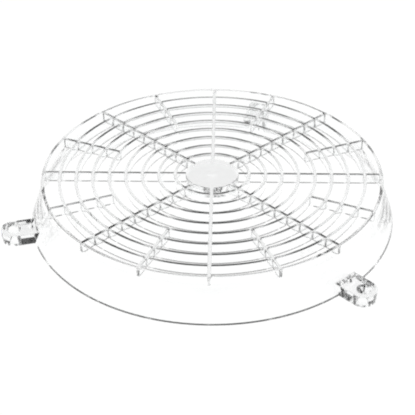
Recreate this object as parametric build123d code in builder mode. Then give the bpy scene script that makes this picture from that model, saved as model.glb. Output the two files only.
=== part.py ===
"""Evaporator fan guard: one clear moulding, a ring grille on a flared skirt with three screw lugs."""

import os
from math import atan, cos, tan

from build123d import *

# Driving dimensions in millimetres and degrees.
# The mounting plane is Z = 0, the lug holes are centred on Z and +X runs along a long spoke.

# Grille of rings and spokes
ring_pitch = 12.7
gap_count = 8
first_ring_radius = 28.5
ring_width = 2.5
spoke_width = 2.75
rib_depth = 7.8
spoke_count = 8
inner_ring_count = 4

# Hub disc with the shallow dimple left by the moulding gate
hub_radius = 20.5
hub_dimple_radius = 4.8
hub_dimple_depth = 0.4

# Skirt
overall_height = 35.1
skirt_flare_reach = 9.55
wall_thickness = 2.5

# Screw lugs
lug_count = 3
lug_first_angle = 75.0
lug_hole_offset = 14.1
lug_end_radius = 10.2
lug_height = 9.6
lug_draft = 1.5
lug_edge_chamfer = 0.5
screw_hole_radius = 4.2
countersink_radius = 6.2
countersink_angle = 90
pin_hole_radius = 2.0
pin_hole_depth = 3.9
pin_hole_spacing = 12.6

# Worked out from the dimensions above
grille_bottom = overall_height - rib_depth
wall_ring_radius = first_ring_radius + gap_count * ring_pitch
band_outer_radius = wall_ring_radius + ring_width / 2
band_inner_radius = wall_ring_radius - ring_width / 2
rim_outer_radius = band_outer_radius + skirt_flare_reach
flare = atan(skirt_flare_reach / grille_bottom)
rim_inner_radius = rim_outer_radius - wall_thickness / cos(flare)
inner_knee_height = (rim_inner_radius - band_inner_radius) / tan(flare)
dimple_sphere_radius = (hub_dimple_radius**2 + hub_dimple_depth**2) / (2 * hub_dimple_depth)
lug_circle_radius = rim_outer_radius + lug_hole_offset
lug_reach = lug_circle_radius - band_outer_radius
pin_hole_circle_radius = lug_circle_radius - pin_hole_spacing
spoke_step = 360 / spoke_count
short_spoke_start = first_ring_radius + inner_ring_count * ring_pitch


def spoke(start_radius):
    """Sketch one spoke along +X, from start_radius to the middle of the grille's wall ring."""
    with BuildSketch() as plan:
        with Locations((start_radius, 0)):
            Rectangle(wall_ring_radius - start_radius, spoke_width, align=(Align.MIN, Align.CENTER))
    return plan.sketch


def outlines_a_lug(edge):
    """Tell an edge that outlines a lug from one that runs round the skirt's wall."""
    return edge.geom_type != GeomType.CIRCLE or edge.radius < band_outer_radius


# Spokes of the grille, which is drawn as one plan
long_spoke = spoke(hub_radius - ring_width)
short_spoke = spoke(short_spoke_start)

with BuildSketch() as grille_plan:
    # Rings, from the outermost inward, each cleared inside before the next is drawn
    for ring in reversed(range(gap_count)):
        ring_radius = first_ring_radius + ring * ring_pitch
        Circle(ring_radius + ring_width / 2)
        Circle(ring_radius - ring_width / 2, mode=Mode.SUBTRACT)
    Circle(hub_radius)

    # Long spokes from the hub, and short ones half way between them on the outer rings
    with PolarLocations(0, spoke_count):
        add(long_spoke)
    with PolarLocations(0, spoke_count, spoke_step / 2):
        add(short_spoke)

with BuildSketch() as lug_plan:
    with Locations((lug_circle_radius, 0)):
        Circle(lug_end_radius)
        Rectangle(lug_reach, 2 * lug_end_radius, align=(Align.MAX, Align.CENTER))

with BuildPart() as fan_guard:
    # Outside of the skirt: the band round the grille and the flared wall under it
    with BuildSketch(Plane.XZ):
        with BuildLine():
            Polyline(
                (0, 0),
                (rim_outer_radius, 0),
                (band_outer_radius, grille_bottom),
                (band_outer_radius, overall_height),
                (0, overall_height),
                close=True,
            )
        make_face()
    revolve(axis=Axis.Z)

    # Lugs: straight sides from the wall to a round end, drafted upward
    with BuildSketch():
        with PolarLocations(0, lug_count, lug_first_angle):
            add(lug_plan.sketch)
    extrude(amount=lug_height, taper=lug_draft)

    # Chamfer round the lugs' upper faces, the lowest level faces but the base
    lug_tops = fan_guard.faces().filter_by(Axis.Z).group_by(Axis.Z)[1]
    chamfer(lug_tops.edges().filter_by(outlines_a_lug), lug_edge_chamfer)

    # Fan space: everything inside the skirt's wall, open at both ends
    with BuildSketch(Plane.XZ):
        with BuildLine():
            Polyline(
                (0, 0),
                (rim_inner_radius, 0),
                (band_inner_radius, inner_knee_height),
                (band_inner_radius, overall_height),
                (0, overall_height),
                close=True,
            )
        make_face()
    revolve(axis=Axis.Z, mode=Mode.SUBTRACT)

    # Grille across the top of the fan space, and the gate's dimple in its hub
    with BuildSketch(Plane.XY.offset(grille_bottom)):
        add(grille_plan.sketch)
    extrude(amount=rib_depth)
    with Locations((0, 0, overall_height - hub_dimple_depth + dimple_sphere_radius)):
        Sphere(dimple_sphere_radius, mode=Mode.SUBTRACT)

    # Countersunk screw holes through the lugs, and blind pin holes in their upper faces
    with Locations((0, 0, lug_height)):
        with PolarLocations(lug_circle_radius, lug_count, lug_first_angle):
            CounterSinkHole(screw_hole_radius, countersink_radius, counter_sink_angle=countersink_angle)
        with PolarLocations(pin_hole_circle_radius, lug_count, lug_first_angle):
            Hole(pin_hole_radius, pin_hole_depth)

fan_guard.part.label = "fan_guard"
os.makedirs("parts", exist_ok=True)
export_step(fan_guard.part, "parts/fan_guard.step")
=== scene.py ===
"""Visual model of the evaporator fan guard: one clear moulding in bright, even studio light."""

from math import atan, cos, pi, radians, sin, sqrt, tan

import bmesh
import bpy
from mathutils import Matrix, Vector


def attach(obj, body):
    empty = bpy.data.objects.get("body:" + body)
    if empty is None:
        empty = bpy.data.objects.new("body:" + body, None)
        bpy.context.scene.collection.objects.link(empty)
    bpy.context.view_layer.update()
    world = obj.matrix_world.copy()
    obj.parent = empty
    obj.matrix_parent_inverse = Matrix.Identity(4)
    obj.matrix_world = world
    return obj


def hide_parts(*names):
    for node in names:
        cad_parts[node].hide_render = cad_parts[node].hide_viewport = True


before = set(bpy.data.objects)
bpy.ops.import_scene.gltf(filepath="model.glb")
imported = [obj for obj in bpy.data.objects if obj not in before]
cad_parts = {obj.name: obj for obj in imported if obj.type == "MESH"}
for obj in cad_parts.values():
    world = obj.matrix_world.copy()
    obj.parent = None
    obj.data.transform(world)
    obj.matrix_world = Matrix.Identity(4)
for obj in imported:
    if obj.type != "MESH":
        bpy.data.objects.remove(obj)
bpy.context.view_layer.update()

MM = 0.001

# Grille, in millimetres like every size below
RING_PITCH = 12.7
RING_COUNT = 8
FIRST_RING_RADIUS = 28.5
RING_WIDTH = 2.5
SPOKE_WIDTH = 2.75
RIB_DEPTH = 7.8
RIB_DRAFT = radians(3)
RIB_TOP_ROUND = 0.42
SPOKE_COUNT = 8
INNER_RING_COUNT = 4
HUB_RADIUS = 20.5
DIMPLE_RADIUS = 4.8
DIMPLE_DEPTH = 0.4

# Skirt
HEIGHT = 35.1
FLARE_REACH = 9.55
WALL = 2.5
KNEE_ROUND = 2.5
RIM_ROUND = 0.3

# Screw lugs
LUG_COUNT = 3
LUG_FIRST_ANGLE = radians(75)
LUG_HOLE_OFFSET = 14.1
LUG_TOP_RADIUS = 10.15
LUG_HEIGHT = 9.6
LUG_DRAFT = radians(6)
LUG_ROUND = 0.15
LUG_BLEND = 0.4
SCREW_HOLE_RADIUS = 4.2
COUNTERSINK_RADIUS = 6.2
PIN_HOLE_RADIUS = 2.0
PIN_HOLE_DEPTH = 3.9
PIN_HOLE_SPACING = 12.6

# Worked out from the sizes above
GRILLE_BOTTOM = HEIGHT - RIB_DEPTH
WALL_RING_RADIUS = FIRST_RING_RADIUS + RING_COUNT * RING_PITCH
BAND_OUTER = WALL_RING_RADIUS + RING_WIDTH / 2
BAND_INNER = WALL_RING_RADIUS - RING_WIDTH / 2
RIM_OUTER = BAND_OUTER + FLARE_REACH
FLARE = atan(FLARE_REACH / GRILLE_BOTTOM)
RIM_INNER = RIM_OUTER - WALL / cos(FLARE)
INNER_KNEE = (RIM_INNER - BAND_INNER) / tan(FLARE)
LUG_CIRCLE = RIM_OUTER + LUG_HOLE_OFFSET
PIN_HOLE_CIRCLE = LUG_CIRCLE - PIN_HOLE_SPACING

# Fineness of the mesh, and how far a cutter reaches past what it cuts
TURN_STEPS = 384
ROUND_STEPS = 4
SMALL_TURN_STEPS = 128
OVERSHOOT = 1.0


def rounded(corners):
    """Points round a closed outline of (x, y, radius) corners, each an arc of its radius."""
    points = []
    count = len(corners)
    for i, (x, y, radius) in enumerate(corners):
        corner = Vector((x, y))
        if radius == 0:
            points.append((x, y))
            continue
        before = (Vector(corners[i - 1][:2]) - corner).normalized()
        after = (Vector(corners[(i + 1) % count][:2]) - corner).normalized()
        half = before.angle(after) / 2
        centre = corner + (before + after).normalized() * radius / sin(half)
        start = corner + before * radius / tan(half) - centre
        turn = start.angle_signed(corner + after * radius / tan(half) - centre)
        for step in range(ROUND_STEPS + 1):
            arm = start.copy()
            arm.rotate(Matrix.Rotation(-turn * step / ROUND_STEPS, 2))
            points.append(tuple(centre + arm))
    return points


def mesh_object(name, points, faces):
    """An object with outward faces, from points in millimetres."""
    mesh = bpy.data.meshes.new(name)
    mesh.from_pydata([Vector(point) * MM for point in points], [], faces)
    work = bmesh.new()
    work.from_mesh(mesh)
    bmesh.ops.recalc_face_normals(work, faces=work.faces)
    work.to_mesh(mesh)
    work.free()
    made = bpy.data.objects.new(name, mesh)
    bpy.context.scene.collection.objects.link(made)
    return made


def lathe(name, profile, steps=TURN_STEPS):
    """A turned solid. Its profile of (r, z) points is closed, or starts and ends on the axis."""
    open_ended = profile[0][0] == 0
    ring_points = profile[1:-1] if open_ended else profile
    count = len(ring_points)
    points = []
    for step in range(steps):
        angle = 2 * pi * step / steps
        points += [(r * cos(angle), r * sin(angle), z) for r, z in ring_points]
    faces = []
    for step in range(steps):
        here = step * count
        there = (step + 1) % steps * count
        for i in range(count - 1 if open_ended else count):
            j = (i + 1) % count
            faces.append((here + i, here + j, there + j, there + i))
    if open_ended:
        points += [(0, 0, profile[0][1]), (0, 0, profile[-1][1])]
        for step in range(steps):
            here = step * count
            there = (step + 1) % steps * count
            faces.append((here, there, len(points) - 2))
            faces.append((there + count - 1, here + count - 1, len(points) - 1))
    return mesh_object(name, points, faces)


def stack(name, layers):
    """A solid through a stack of equal-length outlines, closed at both ends."""
    count = len(layers[0])
    points = [point for layer in layers for point in layer]
    faces = [tuple(range(count)), tuple(range(len(points) - count, len(points)))]
    for level in range(len(layers) - 1):
        for i in range(count):
            j = (i + 1) % count
            low = level * count
            faces.append((low + i, low + j, low + count + j, low + count + i))
    return mesh_object(name, points, faces)


def combine(body, others, operation):
    """Joins, cuts or intersects the body with the others, which are used up."""
    for other in others:
        step = body.modifiers.new("combine", "BOOLEAN")
        step.operation = operation
        step.solver = "MANIFOLD"
        step.object = other
    solid = body.evaluated_get(bpy.context.evaluated_depsgraph_get())
    result = bpy.data.meshes.new_from_object(solid)
    body.modifiers.clear()
    body.data = result
    for other in others:
        bpy.data.objects.remove(other)


def turned_copy(source, name, angle, reach=0.0):
    """A copy of a solid, moved out along X by reach and turned about Z."""
    copy = bpy.data.objects.new(name, source.data.copy())
    copy.data.transform(Matrix.Rotation(angle, 4, "Z") @ Matrix.Translation((reach * MM, 0, 0)))
    bpy.context.scene.collection.objects.link(copy)
    return copy


def rib_profile(centre, width):
    """The section of a ring or spoke: a flat top, drafted sides and rounded upper edges."""
    top = width / 2
    bottom = top - RIB_DEPTH * tan(RIB_DRAFT)
    return rounded(
        [
            (centre - bottom, GRILLE_BOTTOM, 0),
            (centre + bottom, GRILLE_BOTTOM, 0),
            (centre + top, HEIGHT, RIB_TOP_ROUND),
            (centre - top, HEIGHT, RIB_TOP_ROUND),
        ]
    )


def make_ring(index):
    """One ring of the grille."""
    return lathe("ring", rib_profile(FIRST_RING_RADIUS + index * RING_PITCH, RING_WIDTH))


def make_spoke(start, angle):
    """One spoke, from a start radius to the middle of the band."""
    section = rib_profile(0, SPOKE_WIDTH)
    spoke = stack("spoke", [[(x, y, z) for y, z in section] for x in (start, WALL_RING_RADIUS)])
    spoke.data.transform(Matrix.Rotation(angle, 4, "Z"))
    return spoke


def make_hub():
    """The hub disc, with the shallow dimple left by the moulding gate."""
    outline = rounded(
        [
            (0, GRILLE_BOTTOM, 0),
            (HUB_RADIUS, GRILLE_BOTTOM, 0),
            (HUB_RADIUS, HEIGHT, RIB_TOP_ROUND),
            (0, HEIGHT, 0),
        ]
    )[:-1]
    dimple_steps = 12
    for step in range(dimple_steps):
        share = 1 - step / dimple_steps
        outline.append((DIMPLE_RADIUS * share, HEIGHT - DIMPLE_DEPTH * (1 - share**2)))
    outline.append((0, HEIGHT - DIMPLE_DEPTH))
    return lathe("hub", outline)


def make_skirt_outside():
    """The outside of the skirt as a solid: the band, the knee and the flared wall."""
    outline = rounded(
        [
            (0, 0, 0),
            (RIM_OUTER, 0, RIM_ROUND),
            (BAND_OUTER, GRILLE_BOTTOM, KNEE_ROUND),
            (BAND_OUTER, HEIGHT, RIB_TOP_ROUND),
            (0, HEIGHT, 0),
        ]
    )
    return lathe("skirt", outline)


def make_fan_space():
    """The cutter of the space inside the skirt's wall, flared like it and longer at both ends."""
    outline = [
        (0, -OVERSHOOT),
        (RIM_INNER + OVERSHOOT * tan(FLARE), -OVERSHOOT),
        (BAND_INNER, INNER_KNEE),
        (BAND_INNER, HEIGHT + OVERSHOOT),
        (0, HEIGHT + OVERSHOOT),
    ]
    return lathe("fan_space", outline)


def lug_outline(inset, height):
    """A lug's plan at a height: straight sides from inside the wall, and a round end."""
    radius = LUG_TOP_RADIUS - inset
    steps = SMALL_TURN_STEPS // 2
    arc = [radians(-90 + 180 * step / steps) for step in range(steps + 1)]
    end = [(LUG_CIRCLE + radius * cos(angle), radius * sin(angle), height) for angle in arc]
    return [(BAND_INNER, -radius, height), *end, (BAND_INNER, radius, height)]


def make_lug_blend():
    """The hollow round between a lug's upper face and the wall, as wide as that face."""
    sunk = 1.0
    blend_steps = 2 * ROUND_STEPS
    wall_at_lug = RIM_OUTER - LUG_HEIGHT * tan(FLARE)
    outline = [
        (wall_at_lug - WALL, LUG_HEIGHT - sunk),
        (wall_at_lug + LUG_BLEND, LUG_HEIGHT - sunk),
    ]
    for step in range(blend_steps + 1):
        turn = (pi / 2 + FLARE) * step / blend_steps
        reach = wall_at_lug + LUG_BLEND * (1 - sin(turn))
        outline.append((reach, LUG_HEIGHT + LUG_BLEND * (1 - cos(turn))))
    outline.append((wall_at_lug - WALL, outline[-1][1]))
    blend = lathe("blend", outline)
    prism_heights = (LUG_HEIGHT - 2 * sunk, LUG_HEIGHT + 3 * sunk)
    prism = stack("prism", [lug_outline(LUG_ROUND, height) for height in prism_heights])
    combine(blend, [prism], "INTERSECT")
    return blend


def make_lug():
    """One lug along +X: sides drawn in towards the foot, a rounded top edge and the blend."""
    layers = [lug_outline((LUG_HEIGHT - LUG_ROUND) * tan(LUG_DRAFT), 0)]
    for step in range(ROUND_STEPS + 1):
        turn = pi / 2 * step / ROUND_STEPS
        inset = LUG_ROUND * (1 - cos(turn))
        layers.append(lug_outline(inset, LUG_HEIGHT - LUG_ROUND * (1 - sin(turn))))
    lug = stack("lug", layers)
    combine(lug, [make_lug_blend()], "UNION")
    return lug


def make_screw_hole():
    """The cutter of one countersunk screw hole, on the Z axis."""
    sink_depth = COUNTERSINK_RADIUS - SCREW_HOLE_RADIUS
    outline = [
        (0, -OVERSHOOT),
        (SCREW_HOLE_RADIUS, -OVERSHOOT),
        (SCREW_HOLE_RADIUS, LUG_HEIGHT - sink_depth),
        (COUNTERSINK_RADIUS, LUG_HEIGHT),
        (COUNTERSINK_RADIUS, LUG_HEIGHT + OVERSHOOT),
        (0, LUG_HEIGHT + OVERSHOOT),
    ]
    return lathe("screw_hole", outline, SMALL_TURN_STEPS)


def make_pin_hole():
    """The cutter of one blind pin hole, on the Z axis."""
    bottom = LUG_HEIGHT - PIN_HOLE_DEPTH
    top = LUG_HEIGHT + OVERSHOOT
    outline = [(0, bottom), (PIN_HOLE_RADIUS, bottom), (PIN_HOLE_RADIUS, top), (0, top)]
    return lathe("pin_hole", outline, SMALL_TURN_STEPS)


def make_guard():
    """The whole moulding as one closed mesh."""
    lug_angles = [LUG_FIRST_ANGLE + 2 * pi * i / LUG_COUNT for i in range(LUG_COUNT)]
    spoke_step = 2 * pi / SPOKE_COUNT
    short_start = FIRST_RING_RADIUS + INNER_RING_COUNT * RING_PITCH
    guard = make_skirt_outside()
    lug = make_lug()
    combine(guard, [turned_copy(lug, "lug_copy", angle) for angle in lug_angles], "UNION")
    bpy.data.objects.remove(lug)
    combine(guard, [make_fan_space()], "DIFFERENCE")
    grille = [make_ring(index) for index in range(RING_COUNT)]
    grille.append(make_hub())
    for i in range(SPOKE_COUNT):
        grille.append(make_spoke(HUB_RADIUS - RING_WIDTH, i * spoke_step))
        grille.append(make_spoke(short_start, (i + 0.5) * spoke_step))
    combine(guard, grille, "UNION")
    screw_hole = make_screw_hole()
    pin_hole = make_pin_hole()
    holes = [turned_copy(screw_hole, "hole", angle, LUG_CIRCLE) for angle in lug_angles]
    holes += [turned_copy(pin_hole, "hole", angle, PIN_HOLE_CIRCLE) for angle in lug_angles]
    bpy.data.objects.remove(screw_hole)
    bpy.data.objects.remove(pin_hole)
    combine(guard, holes, "DIFFERENCE")
    guard.name = "clear_fan_guard"
    guard.data.name = "clear_fan_guard"
    return guard


def smooth_edges(piece, sharp_angle=radians(50)):
    """Shades rounded edges smoothly and keeps the flat faces flat."""
    for face in piece.data.polygons:
        face.use_smooth = True
    piece.data.set_sharp_from_angle(angle=sharp_angle)
    weighted = piece.modifiers.new("flat_faces", "WEIGHTED_NORMAL")
    weighted.keep_sharp = True
    weighted.mode = "FACE_AREA_WITH_ANGLE"


def clear_plastic():
    """Polished clear polycarbonate with the faint waviness of a moulded surface."""
    material = bpy.data.materials.new("clear_plastic")
    material.use_nodes = True
    nodes = material.node_tree.nodes
    links = material.node_tree.links
    shader = nodes["Principled BSDF"]
    shader.inputs["Base Color"].default_value = (0.985, 0.99, 0.99, 1)
    shader.inputs["Transmission Weight"].default_value = 1.0
    shader.inputs["IOR"].default_value = 1.585
    place = nodes.new("ShaderNodeTexCoord")
    waves = nodes.new("ShaderNodeTexNoise")
    waves.inputs["Scale"].default_value = 90
    waves.inputs["Detail"].default_value = 2
    links.new(place.outputs["Object"], waves.inputs["Vector"])
    bump = nodes.new("ShaderNodeBump")
    bump.inputs["Strength"].default_value = 0.02
    bump.inputs["Distance"].default_value = 0.0005
    links.new(waves.outputs["Fac"], bump.inputs["Height"])
    links.new(bump.outputs["Normal"], shader.inputs["Normal"])
    haze = nodes.new("ShaderNodeMapRange")
    haze.inputs["To Min"].default_value = 0.01
    haze.inputs["To Max"].default_value = 0.05
    links.new(waves.outputs["Fac"], haze.inputs["Value"])
    links.new(haze.outputs["Result"], shader.inputs["Roughness"])
    return material


def make_floor():
    """The white floor: a wide sheet that glows evenly, so the clear part casts no shadow on it."""
    half = 30000
    level = -0.5
    corners = [(-half, -half, level), (half, -half, level), (half, half, level), (-half, half, level)]
    floor = mesh_object("floor", corners, [(0, 1, 2, 3)])
    material = bpy.data.materials.new("floor_white")
    material.use_nodes = True
    nodes = material.node_tree.nodes
    nodes.clear()
    glow = nodes.new("ShaderNodeEmission")
    glow.inputs["Color"].default_value = (1, 1, 1, 1)
    glow.inputs["Strength"].default_value = 1.04
    out = nodes.new("ShaderNodeOutputMaterial")
    material.node_tree.links.new(glow.outputs[0], out.inputs["Surface"])
    floor.data.materials.append(material)


def make_world():
    """Studio surroundings: a bright wall behind with a dark gap in it, dim sides and a dark top."""
    side_strength = 0.4
    wall_strength = 1.6
    top_share = 0.09
    # How far straight behind a heading points, where the wall starts and where it is full
    wall_edges = (0.365, 0.665)
    # How high a direction points, where the dark top starts and where it is full
    top_edges = (0.533, 0.693)
    # How high the round gap's centre is, and how far from it the gap starts and is full
    gap_height = 0.718
    gap_angles = (radians(25.8), radians(19.8))

    world = bpy.data.worlds.new("studio")
    bpy.context.scene.world = world
    world.use_nodes = True
    nodes = world.node_tree.nodes
    links = world.node_tree.links
    nodes.clear()
    direction = nodes.new("ShaderNodeTexCoord").outputs["Generated"]

    def component(vector, axis):
        """How far a vector reaches along an axis."""
        dot = nodes.new("ShaderNodeVectorMath")
        dot.operation = "DOT_PRODUCT"
        links.new(vector, dot.inputs[0])
        dot.inputs[1].default_value = axis
        return dot.outputs["Value"]

    def fade(value, edges, first, last):
        """A smooth change from first to last while the value passes from edge to edge."""
        step = nodes.new("ShaderNodeMapRange")
        step.interpolation_type = "SMOOTHSTEP"
        step.inputs["From Min"].default_value = edges[0]
        step.inputs["From Max"].default_value = edges[1]
        step.inputs["To Min"].default_value = first
        step.inputs["To Max"].default_value = last
        links.new(value, step.inputs["Value"])
        return step.outputs["Result"]

    def product(first, second):
        """Two values multiplied."""
        times = nodes.new("ShaderNodeMath")
        times.operation = "MULTIPLY"
        links.new(first, times.inputs[0])
        links.new(second, times.inputs[1])
        return times.outputs[0]

    level = nodes.new("ShaderNodeVectorMath")
    level.operation = "MULTIPLY"
    links.new(direction, level.inputs[0])
    level.inputs[1].default_value = (1, 1, 0)
    heading = nodes.new("ShaderNodeVectorMath")
    heading.operation = "NORMALIZE"
    links.new(level.outputs[0], heading.inputs[0])

    wall = fade(component(heading.outputs[0], (0, 1, 0)), wall_edges, side_strength, wall_strength)
    top = fade(component(direction, (0, 0, 1)), top_edges, 1.0, top_share)
    gap_centre = (0, sqrt(1 - gap_height**2), gap_height)
    gap_edges = [cos(angle) for angle in gap_angles]
    gap = fade(component(direction, gap_centre), gap_edges, 1.0, 0.0)
    sky = nodes.new("ShaderNodeBackground")
    links.new(product(product(wall, top), gap), sky.inputs["Strength"])
    out = nodes.new("ShaderNodeOutputWorld")
    links.new(sky.outputs[0], out.inputs["Surface"])


def make_camera():
    """A camera at the photograph's angle, placed in metres and aimed by its tilt, swing and roll."""
    lens_width = 36.0
    image_width = 415
    focal_pixels = 1308.63
    tilt = radians(34.7)
    swing = radians(-1.272)
    roll = radians(-0.259)
    right = Vector((1, 0, 0))
    forward = Vector((0, cos(tilt), -sin(tilt)))
    down = forward.cross(right)
    data = bpy.data.cameras.new("camera")
    data.sensor_width = lens_width
    data.lens = focal_pixels * lens_width / image_width
    camera = bpy.data.objects.new("camera", data)
    basis = Matrix((right, -down, -forward)).transposed()
    turn = Matrix.Rotation(swing, 3, "Z").transposed()
    camera.rotation_mode = "QUATERNION"
    camera.rotation_quaternion = (turn @ basis @ Matrix.Rotation(roll, 3, "Z")).to_quaternion()
    camera.location = (0.01503, -0.84404, 0.58742)
    data.clip_start = 0.01
    data.clip_end = 100
    bpy.context.scene.collection.objects.link(camera)
    bpy.context.scene.camera = camera


guard = make_guard()
guard.data.materials.clear()
guard.data.materials.append(clear_plastic())
smooth_edges(guard)
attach(guard, "root")
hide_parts("fan_guard")
make_floor()
make_world()
make_camera()

scene = bpy.context.scene
scene.view_settings.view_transform = "Standard"
scene.cycles.max_bounces = 32
scene.cycles.transmission_bounces = 32
scene.cycles.glossy_bounces = 16
scene.cycles.filter_width = 2.2
